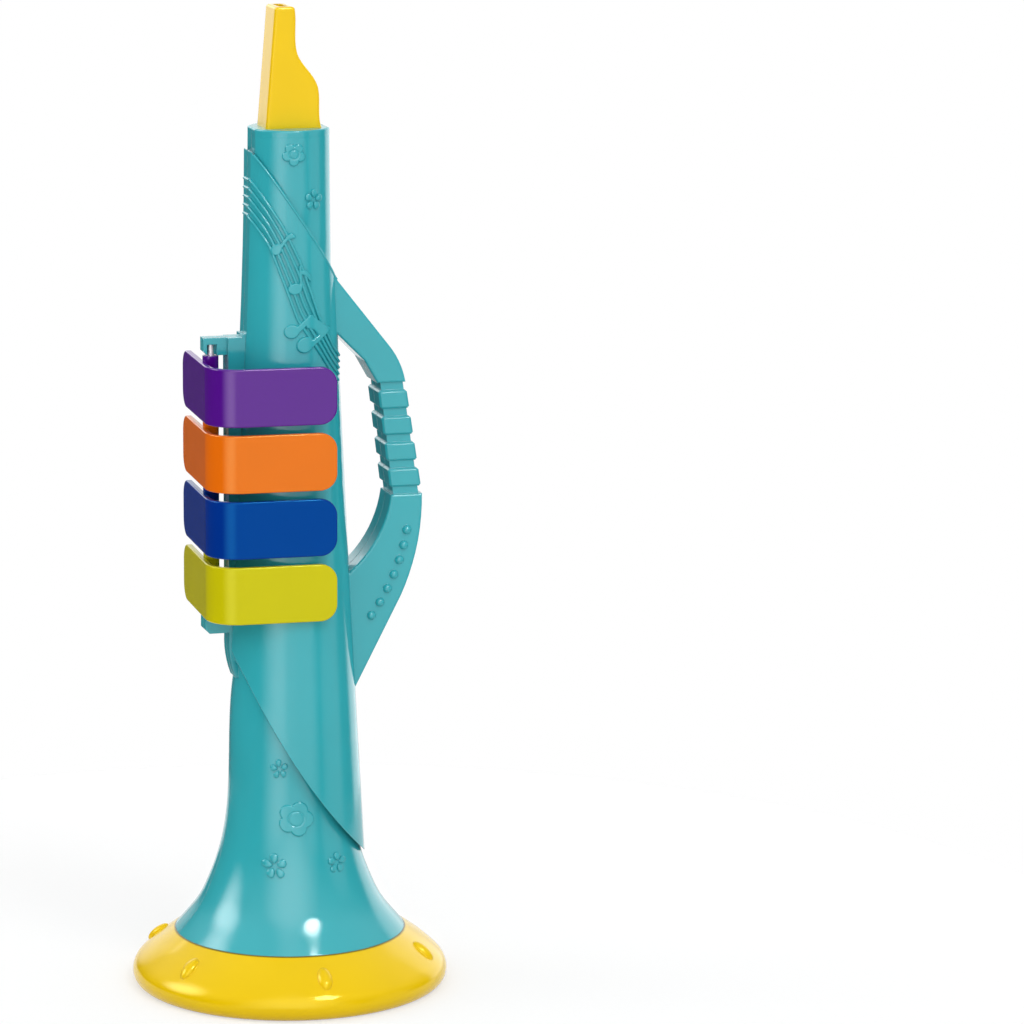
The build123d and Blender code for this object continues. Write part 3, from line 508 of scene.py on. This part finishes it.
blossomValues = {
    "tubeBlossom": {
        "wall": tubeWall, "centre": (-1.35, 248.35), "turn": -92,
        "reach": 1.95, "lobe": 1.45, "disc": 1.3, "height": 0.65},
    "hornBlossom": {
        "wall": hornWall, "centre": (-2.75, 53.7), "turn": -76,
        "reach": 2.75, "lobe": 2.5, "disc": 2.2, "height": 0.65},
}


def discGroove(centre, radius):  # a round groove about the flower's middle
    def carve(x, z):
        away = (np.hypot(x - centre[0], z - centre[1]) - radius) / plateValues["grooveWidth"]
        return -plateValues["grooveDepth"] * np.exp(-(away ** 2))
    return carve


for name, v in blossomValues.items():
    (cx, cz), r = v["centre"], v["reach"] + v["lobe"] + 1
    shape = lobedShape(v["centre"], v["reach"], v["lobe"], v["turn"])
    box = (cx - r, cz - r), (cx + r, cz + r)
    raisedPlate(name, v["wall"], shape, v["height"], box, discGroove(v["centre"], v["disc"]))
print("notes and blossoms raised")


def newGrowth(name, sizes):
    tree = bpy.data.node_groups.new(name, "GeometryNodeTree")

    def addSocket(label, kind, side="INPUT"):
        kind = "NodeSocket" + kind
        return tree.interface.new_socket(name=label, in_out=side, socket_type=kind).identifier

    addSocket("Geometry", "Geometry")
    kinds = {label: "Int" if isinstance(value, int) else "Float" for label, value in sizes.items()}
    kinds["Material"] = "Material"
    identifiers = {label: addSocket(label, kind) for label, kind in kinds.items()}
    addSocket("Geometry", "Geometry", "OUTPUT")
    return tree, put(tree, "NodeGroupInput").outputs, identifiers


def endGrowth(tree, geometry, given):
    real = put(tree, "GeometryNodeRealizeInstances", {"Geometry": geometry}).outputs[0]
    smooth = put(tree, "GeometryNodeSetShadeSmooth", {"Geometry": real}).outputs[0]
    inputs = {"Geometry": smooth, "Material": given["Material"]}
    painted = put(tree, "GeometryNodeSetMaterial", inputs).outputs[0]
    put(tree, "NodeGroupOutput", {0: painted})


def grownMesh(name, start, tree, identifiers, values, material):
    carrier = bpy.data.objects.new(name + "Start", start)
    bpy.context.scene.collection.objects.link(carrier)
    modifier = carrier.modifiers.new(name, "NODES")
    modifier.node_group = tree
    for label, value in values.items():
        modifier[identifiers[label]] = value
    modifier[identifiers["Material"]] = material
    ready = carrier.evaluated_get(bpy.context.evaluated_depsgraph_get())
    mesh = bpy.data.meshes.new_from_object(ready)
    bpy.data.objects.remove(carrier)
    mesh.name = name
    return mesh


# staff lines, ridges that follow the sleeve: the nodes' inputs and the lines' course
staffRidge = {
    "Ridge radius": 0.46,
    "Ridge sides": 10,
    "Spacing": 0.6,
}
staffValues = {
    "lines": 5,
    "points": 90,
    "window": 11,            # points over which a line is smoothed
    "lift": 0.24,            # mm off the wall
    "top": [(-12.39, 240.7), (-9.28, 235.3), (-4.65, 227.5), (0.25, 216.7),
            (5.66, 201.0), (10.32, 192.3), (13.2, 188.6)],
    "foot": [(-12.75, 229.9), (-8.14, 221.9), (-7.05, 218.6), (-0.77, 200.4),
             (5.03, 192.0), (9.38, 185.3), (12.6, 181.6)],
    "flat": (3.3, -3.6, 9),  # Y of the left flat's ends, and how many places from end to end
    "flatDrop": 0.6,         # how much lower the top line lies there
    "away": 40,              # mm, where the measuring rays start
}


def smoothPath(points):  # a curve through the points, evenly parted by height
    points = np.array(points)
    heights = np.linspace(points[0, 1], points[-1, 1], staffValues["points"])
    x = np.interp(-heights, -points[:, 1], points[:, 0])
    window = np.hanning(staffValues["window"])
    half = len(window) // 2
    padded = np.concatenate([2 * x[0] - x[half:0:-1], x, 2 * x[-1] - x[-2:-2 - half:-1]])
    return np.stack([np.convolve(padded, window / window.sum(), "valid"), heights], 1)


def ridgeTree():
    tree, given, ids = newGrowth("ridges", staffRidge)
    spacing = maths(tree, "MULTIPLY", given["Spacing"], mm)
    inputs = {"Curve": given["Geometry"], "Length": spacing}
    even = put(tree, "GeometryNodeResampleCurve", inputs, mode="LENGTH")
    radius = maths(tree, "MULTIPLY", given["Ridge radius"], mm)
    inputs = {"Resolution": given["Ridge sides"], "Radius": radius}
    ring = put(tree, "GeometryNodeCurvePrimitiveCircle", inputs)
    inputs = {"Curve": even.outputs[0], "Profile Curve": ring.outputs[0], "Fill Caps": True}
    tube = put(tree, "GeometryNodeCurveToMesh", inputs)
    endGrowth(tree, tube.outputs[0], given)
    return tree, ids


def pathCurve(name, paths):  # one curve with a line through each row of points, in mm
    curve = bpy.data.curves.new(name, "CURVE")
    curve.dimensions = "3D"
    for places in paths:
        spline = curve.splines.new("POLY")
        spline.points.add(len(places) - 1)
        places = np.c_[np.array(places) * mm, np.ones(len(places))]
        spline.points.foreach_set("co", places.ravel())
    return curve


def acrossFlat(z):  # from the back of the left flat to its front corner
    places = []
    for y in np.linspace(*staffValues["flat"]):
        start = (-staffValues["away"], y, z)
        hit = castRay(start, (1, 0, 0), frontTree if y < 0 else backTree)
        places.append((hit.x / mm, y, z))
    return places


def makeStaff(v):
    top, foot = smoothPath(v["top"]), smoothPath(v["foot"])
    paths = []
    for share in np.arange(v["lines"]) / (v["lines"] - 1):
        path = top * (1 - share) + foot * share
        side = acrossFlat(path[0, 1] - v["flatDrop"] * (1 - share))
        paths.append(side + onWall(sleeveWall, path[:, 0], path[:, 1], v["lift"]).tolist())
    curve = pathCurve("staffPaths", paths)
    mesh = grownMesh("staffLines", curve, ridges, ridgeInputs, staffRidge, reliefPlastic)
    rideTrumpet(newPiece("staffLines", mesh, reliefPlastic))


ridges, ridgeInputs = ridgeTree()
makeStaff(staffValues)
print("staff lines run")

# the tube's rim, a little above the solids' end
rimValues = {
    "height": 255.1,
    "depth": 2.6,
    "proud": 0.03,       # how far it stands out from the solids
    "foot": [(-0.12, 0.0), (-0.02, 0.35), (0.02, 0.7)],   # out and up, it grows from the wall
    "round": 0.5,
    "roundLead": 0.1,    # how far below its rounding the straight wall ends
    "roundSteps": 6,
    "inward": (-0.8, -1.8),
    "points": 180,
    "away": 60,          # mm, where the measuring rays start
}


def makeTubeRim(v):
    foot = v["height"] - v["depth"]
    outline = []
    for i in range(v["points"]):
        angle = 2 * pi * (i + 0.5) / v["points"]
        out = Vector((cos(angle), sin(angle), 0))
        start = (*(out * v["away"])[:2], foot)
        hit = castRay(start, -out, frontTree if out.y < 0 else backTree)
        outline.append((hit.x / mm, hit.y / mm))
    outline = np.array(outline)
    away = np.roll(outline, -1, 0) - np.roll(outline, 1, 0)
    away = np.stack([away[:, 1], -away[:, 0]], 1) / np.hypot(*away.T)[:, None]
    profile = v["foot"] + [(v["proud"], v["depth"] - v["round"] - v["roundLead"])]
    for step in range(v["roundSteps"] + 1):
        turn = pi / 2 * step / v["roundSteps"]
        inward, down = v["round"] * (1 - cos(turn)), v["round"] * (1 - sin(turn))
        profile.append((v["proud"] - inward, v["depth"] - down))
    profile += [(out, v["depth"]) for out in v["inward"]]
    rows = [np.c_[outline + away * out, np.full(len(outline), foot + up)] for out, up in profile]
    points = np.concatenate(rows + [[[0, 0, v["height"]]]])
    count, faces = v["points"], []
    for row in range(len(profile) - 1):
        for i in range(count):
            j = (i + 1) % count
            low, high = row * count, (row + 1) * count
            faces.append([low + i, low + j, high + j, high + i])
    last = (len(profile) - 1) * count
    faces += [[last + i, last + (i + 1) % count, len(points) - 1] for i in range(count)]
    mesh = bpy.data.meshes.new("tubeRim")
    mesh.from_pydata((points * mm).tolist(), [], faces)
    rideTrumpet(newPiece("tubeRim", mesh, tealPlastic))


makeTubeRim(rimValues)
print("tube rim closed")

# a bead along the sleeve's upper edge, with where to look for that edge
beadRidge = {
    "Ridge radius": 0.4,
    "Ridge sides": 12,
    "Spacing": 0.5,
}
edgeValues = {
    "guess": [(-12.1, 248.9), (-8.0, 243.0), (0.0, 231.5), (6.0, 221.5), (13.3, 210.5)],
    "search": 5,         # mm above and below the guess
    "step": 0.08,
    "least": 0.2,        # the smallest step that counts as the edge
    "places": (-11.6, 12.9, 60),   # X of the first and the last, and how many
    "away": 80,          # mm, where the measuring rays start
    "inset": 0.1,        # from the edge to the bead's middle
    "drop": 0.15,
}


def sleeveEdge(x):  # the height where the front steps out from tube to sleeve
    v = edgeValues
    guess = np.interp(x, *np.transpose(v["guess"]))
    heights = np.arange(guess + v["search"], guess - v["search"], -v["step"])
    hits = [castRay((x, -v["away"], z), (0, 1, 0)) for z in heights]
    depths = [hit.y / mm if hit else 0 for hit in hits]
    steps = -np.diff(depths)
    k = int(np.argmax(steps))
    return [x, depths[k + 1], heights[k + 1]] if steps[k] > v["least"] else None


def makeBead(v):
    edge = [e for e in map(sleeveEdge, np.linspace(*v["places"])) if e]
    edge = [[x, y + v["inset"], z - v["drop"]] for x, y, z in edge]
    curve = pathCurve("sleeveEdge", [edge])
    mesh = grownMesh("sleeveBead", curve, ridges, ridgeInputs, beadRidge, reliefPlastic)
    rideTrumpet(newPiece("sleeveBead", mesh, reliefPlastic))
    ends = [[round(float(c), 2) for c in e] for e in (edge[0], edge[-1])]
    print("sleeve edge found at", len(edge), "places, from", ends[0], "to", ends[1])


makeBead(edgeValues)

# each torsion spring in two: the leg in the flange stays, the coil turns with its key
springValues = {
    "axis": -23.4,        # mm, where the rod stands
    "radius": 1.6,
    "wire": 0.25,         # radius
    "legWire": 0.24,
    "pitch": 1.0,
    "turns": 3.2556,
    "fixedLeg": 5.8,
    "movingLeg": 9.0,
    "overlap": 22,        # degrees of the coil that the leg piece repeats
    "step": 6,            # degrees between points
}
wireRidge = {
    "Ridge sides": 12,
    "Spacing": 0.18,
}


def makeSpring(colour, v):
    slope = v["pitch"] / (2 * pi * v["radius"])
    rise = slope / hypot(1, slope)
    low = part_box("spring_" + colour)[0][2] / mm
    low += v["fixedLeg"] * rise
    low += v["wire"] / hypot(1, slope)

    def spot(angle):  # degrees round the coil from the fixed leg
        turn = radians(-90 - angle)
        across, back = v["radius"] * cos(turn), v["radius"] * sin(turn)
        return Vector((v["axis"] + across, back, low + v["pitch"] * angle / 360))

    def way(angle):
        turn = radians(-90 - angle)
        return Vector((sin(turn), -cos(turn), slope)).normalized()

    full = v["turns"] * 360
    leg = [spot(0) - way(0) * v["fixedLeg"]] + [spot(a) for a in np.linspace(0, v["overlap"], 6)]
    coil = [spot(a) for a in np.arange(0, full, v["step"])]
    coil += [spot(full), spot(full) + way(full) * v["movingLeg"]]
    parts = ("Leg_", leg, v["legWire"], "trumpet"), ("Coil_", coil, v["wire"], "key_" + colour)
    for label, path, wire, body in parts:
        name = "spring" + label + colour
        sizes = {"Ridge radius": wire, **wireRidge}
        mesh = grownMesh(name, pathCurve(name, [path]), ridges, ridgeInputs, sizes, springSteel)
        piece = newPiece(name, mesh, springSteel)
        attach(piece, body)
    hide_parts("spring_" + colour)


for keyName in keyColours:
    makeSpring(keyName, springValues)
print("springs wound")

petalValues = {
    "Petals": 5,
    "Reach": 1.55,
    "Length": 2.0,
    "Width": 1.7,
    "Height": 0.75,
    "Taper": 0.32,
    "Turn": 90.0,
}
petalFlowers = {
    "tubePetals": {
        "wall": tubeWall, "centre": (4.45, 235.1), "stretch": (1.07, 1.2), "Turn": 85.0},
    "neckPetals": {
        "wall": hornWall, "centre": (-7.25, 68.55), "stretch": (0.98, 1.18), "Turn": 97.0,
        "Reach": 1.5, "Length": 1.95, "Width": 1.5},
    "leftPetals": {
        "wall": hornWall, "centre": (-9.3, 39.95), "stretch": (1.03, 1.15), "Turn": 91.0,
        "Reach": 1.95, "Length": 2.6, "Width": 2.0},
    "rightPetals": {
        "wall": hornWall, "centre": (9.3, 39.8), "stretch": (1.05, 1.03), "Turn": 86.0,
        "Reach": 1.75, "Length": 2.2, "Width": 1.8},
}


def petalTree():
    tree, given, ids = newGrowth("petalRing", petalValues)
    inputs = {"Segments": 24, "Rings": 16, "Radius": 1.0}
    ball = put(tree, "GeometryNodeMeshUVSphere", inputs).outputs["Mesh"]
    position = put(tree, "GeometryNodeInputPosition").outputs[0]
    spot = put(tree, "ShaderNodeSeparateXYZ", {0: position}).outputs
    taper = maths(tree, "ADD", 1.0, maths(tree, "MULTIPLY", spot["Y"], given["Taper"]))
    across = maths(tree, "MULTIPLY", spot["X"], taper)
    across = maths(tree, "MULTIPLY", across, maths(tree, "DIVIDE", given["Width"], 2.0))
    along = maths(tree, "MULTIPLY", spot["Y"], maths(tree, "DIVIDE", given["Length"], 2.0))
    flat = maths(tree, "POWER", maths(tree, "ABSOLUTE", spot["Z"]), 0.5)
    flat = maths(tree, "MULTIPLY", flat, maths(tree, "SIGN", spot["Z"]))
    flat = maths(tree, "MULTIPLY", flat, given["Height"])
    shaped = put(tree, "ShaderNodeCombineXYZ", {"X": across, "Y": along, "Z": flat}).outputs[0]
    petal = put(tree, "GeometryNodeSetPosition", {"Geometry": ball, "Position": shaped}).outputs[0]
    inputs = {0: spot["Z"], 1: -0.15}  # what lies well under the wall goes
    under = put(tree, "FunctionNodeCompare", inputs, operation="LESS_THAN").outputs[0]
    inputs = {"Geometry": petal, "Selection": under}
    petal = put(tree, "GeometryNodeDeleteGeometry", inputs).outputs[0]
    part = maths(tree, "DIVIDE", 2 * pi, given["Petals"])
    angle = maths(tree, "MULTIPLY", put(tree, "GeometryNodeInputIndex").outputs[0], part)
    angle = maths(tree, "ADD", angle, maths(tree, "RADIANS", given["Turn"]))
    spoke = put(tree, "ShaderNodeCombineXYZ", {
        "X": maths(tree, "MULTIPLY", maths(tree, "COSINE", angle), given["Reach"]),
        "Y": maths(tree, "MULTIPLY", maths(tree, "SINE", angle), given["Reach"])}).outputs[0]
    inputs = {"Count": given["Petals"], "Position": spoke}
    spots = put(tree, "GeometryNodePoints", inputs).outputs[0]
    facing = maths(tree, "SUBTRACT", angle, pi / 2)
    facing = put(tree, "ShaderNodeCombineXYZ", {"Z": facing}).outputs[0]
    inputs = {"Points": spots, "Instance": petal, "Rotation": facing}
    ring = put(tree, "GeometryNodeInstanceOnPoints", inputs).outputs[0]
    endGrowth(tree, ring, given)
    return tree, ids


def layOnWall(mesh, wall, centre, stretch):  # bends a flat piece, drawn in mm, on to the wall
    flat = np.empty(len(mesh.vertices) * 3)
    mesh.vertices.foreach_get("co", flat)
    flat = flat.reshape(-1, 3)
    across, up = flat[:, 0] * stretch[0], flat[:, 1] * stretch[1]
    laid = onWall(wall, centre[0] + across, centre[1] + up, flat[:, 2]) * mm
    mesh.vertices.foreach_set("co", laid.ravel())
    mesh.update()


petals, petalInputs = petalTree()
for name, v in petalFlowers.items():
    sizes = {label: v.get(label, value) for label, value in petalValues.items()}
    start = bpy.data.meshes.new(name + "Start")
    mesh = grownMesh(name, start, petals, petalInputs, sizes, reliefPlastic)
    layOnWall(mesh, v["wall"], v["centre"], v["stretch"])
    rideTrumpet(newPiece(name, mesh, reliefPlastic))
print("petal flowers laid")

studioValues = {
    # oval soft boxes: turn from the camera, half width, rise, half height (degrees),
    # softness, brightness
    "patches": {
        "keyStrip": (-17, 20, -8, 20, 0.9, 3.1),
        "lowFill": (17, 33, -4, 26, 0.35, 1.45),
        "highFill": (4, 32, 30, 36, 0.8, 3.6),
        "rightFill": (80, 20, 0, 24, 0.4, 0.9),
        "backdrop": (166, 30, 0, 60, 0.35, 1.2),
        "rightBackdrop": (147, 20, 0, 50, 0.35, 1.9),
        "leftBackdrop": (-166, 27, 42, 46, 0.2, 1.3),
        "leftBox": (-90, 17, 31, 15.5, 0.6, 8.4),
        "topBox": (37, 11.5, 51.4, 8.9, 0.04, 30.0),
    },
    # rise where it begins and is full, brightness under it and in it
    "ceiling": (5, 40, 0.06, 1.0),
    "diffuseShare": 0.27,        # how much of the boxes the matt light takes
    "diffuseBase": 0.62,
    # turn, distance, height of its middle, width, height, brightness
    "card": (-148, 400, 321, 170, 198, 1.2),
    "floorRadius": 260,
    "floorSides": 96,
    "floorPaper": (0.60, 0.64),
    "floorGrain": 900.0,
    "floorGlow": 0.35,           # share of the floor that is plain white to the eye
    "floorGloss": 0.38,          # and in reflections
    "floorWhite": 1.6,
}


def towards(turn, rise):  # a direction from the object, turned from the camera's side
    angle, rise = radians(180 + cameraValues["yaw"] - turn), radians(rise)
    return Vector((sin(angle) * cos(rise), cos(angle) * cos(rise), sin(rise)))


def makeCard(v):  # a white card behind the left shoulder, seen in the beak's side
    turn, far, level, width, height, brightness = v["card"]
    data = bpy.data.lights.new("whiteCard", "AREA")
    data.shape, data.size, data.size_y = "RECTANGLE", width * mm, height * mm
    data.energy = brightness * pi * data.size * data.size_y
    lamp = bpy.data.objects.new("whiteCard", data)
    bpy.context.scene.collection.objects.link(lamp)
    lamp.visible_camera = lamp.visible_diffuse = False
    way = towards(turn, 0)
    place = Vector((way.x * far, way.y * far, level)) * mm
    facing = (-way).to_track_quat("-Z", "Y").to_matrix().to_4x4()
    lamp.matrix_world = Matrix.Translation(place) @ facing


def makeWorld(v):
    world = bpy.data.worlds.new("studio")
    bpy.context.scene.world = world
    world.use_nodes = True
    tree = world.node_tree
    way = put(tree, "ShaderNodeTexCoord").outputs["Generated"]

    def along(axis):
        return vectorMaths(tree, "DOT_PRODUCT", way, tuple(axis))["Value"]

    turn = maths(tree, "ARCTAN2", along(towards(90, 0)), along(towards(0, 0)))
    turn = maths(tree, "DEGREES", turn)
    rise = maths(tree, "DEGREES", maths(tree, "ARCSINE", along((0, 0, 1))))
    light = ramp(tree, rise, *v["ceiling"])
    for middle, width, height, tall, soft, brightness in v["patches"].values():
        aside = maths(tree, "WRAP", maths(tree, "SUBTRACT", turn, middle), 180, -180)
        aside = maths(tree, "ABSOLUTE", maths(tree, "DIVIDE", aside, width))
        aside = maths(tree, "POWER", aside, 2.0)
        above = maths(tree, "DIVIDE", maths(tree, "SUBTRACT", rise, height), tall)
        above = maths(tree, "MULTIPLY", above, above)
        away = maths(tree, "SQRT", maths(tree, "ADD", aside, above))
        patch = ramp(tree, away, 1 + soft, 1 - soft, 0.0, brightness)
        light = maths(tree, "MAXIMUM", light, patch)
    rays = put(tree, "ShaderNodeLightPath").outputs
    matt = maths(tree, "ADD", maths(tree, "MULTIPLY", light, v["diffuseShare"]), v["diffuseBase"])
    sharp = maths(tree, "MULTIPLY", maths(tree, "SUBTRACT", light, matt), rays["Is Glossy Ray"])
    level = maths(tree, "ADD", matt, sharp)
    clear = maths(tree, "MAXIMUM", rays["Is Camera Ray"], rays["Is Transmission Ray"])
    level = put(tree, "ShaderNodeMix", {0: clear, 2: level, 3: 1.0}).outputs[0]
    ground = tree.nodes["Background"]
    ground.inputs[0].default_value = (1, 1, 1, 1)
    tree.links.new(level, ground.inputs[1])


def makeFloor(v):
    count, radius = v["floorSides"], v["floorRadius"] * mm
    angles = [2 * pi * i / count for i in range(count)]
    rim = [(cos(a) * radius, sin(a) * radius, 0) for a in angles]
    mesh = bpy.data.meshes.new("floor")
    mesh.from_pydata(rim, [], [list(range(count))])
    material, tree, shader, place = newMaterial("paleFloor")
    inputs = {"Vector": place, "Scale": v["floorGrain"]}
    paper = put(tree, "ShaderNodeTexNoise", inputs).outputs["Fac"]
    greys = [(g, g, g, 1) for g in v["floorPaper"]]
    tree.links.new(mixColours(tree, paper, *greys), shader.inputs["Base Color"])
    shader.inputs["Roughness"].default_value = 0.9
    shader.inputs["Specular IOR Level"].default_value = 0.0
    inputs = {"Color": (1, 1, 1, 1), "Strength": v["floorWhite"]}
    glow = put(tree, "ShaderNodeEmission", inputs).outputs[0]
    rays = put(tree, "ShaderNodeLightPath").outputs
    clear = maths(tree, "MAXIMUM", rays["Is Camera Ray"], rays["Is Transmission Ray"])
    share = maths(tree, "MULTIPLY", clear, v["floorGlow"])
    mirrored = maths(tree, "MULTIPLY", rays["Is Glossy Ray"], v["floorGloss"])
    share = maths(tree, "MAXIMUM", share, mirrored)
    both = put(tree, "ShaderNodeMixShader", {0: share, 1: shader.outputs[0], 2: glow}).outputs[0]
    tree.links.new(both, tree.nodes["Material Output"].inputs["Surface"])
    floor = newPiece("floor", mesh, material)


makeCard(studioValues)
makeWorld(studioValues)
makeFloor(studioValues)
bpy.context.scene.view_settings.view_transform = "Standard"
print("studio lit")
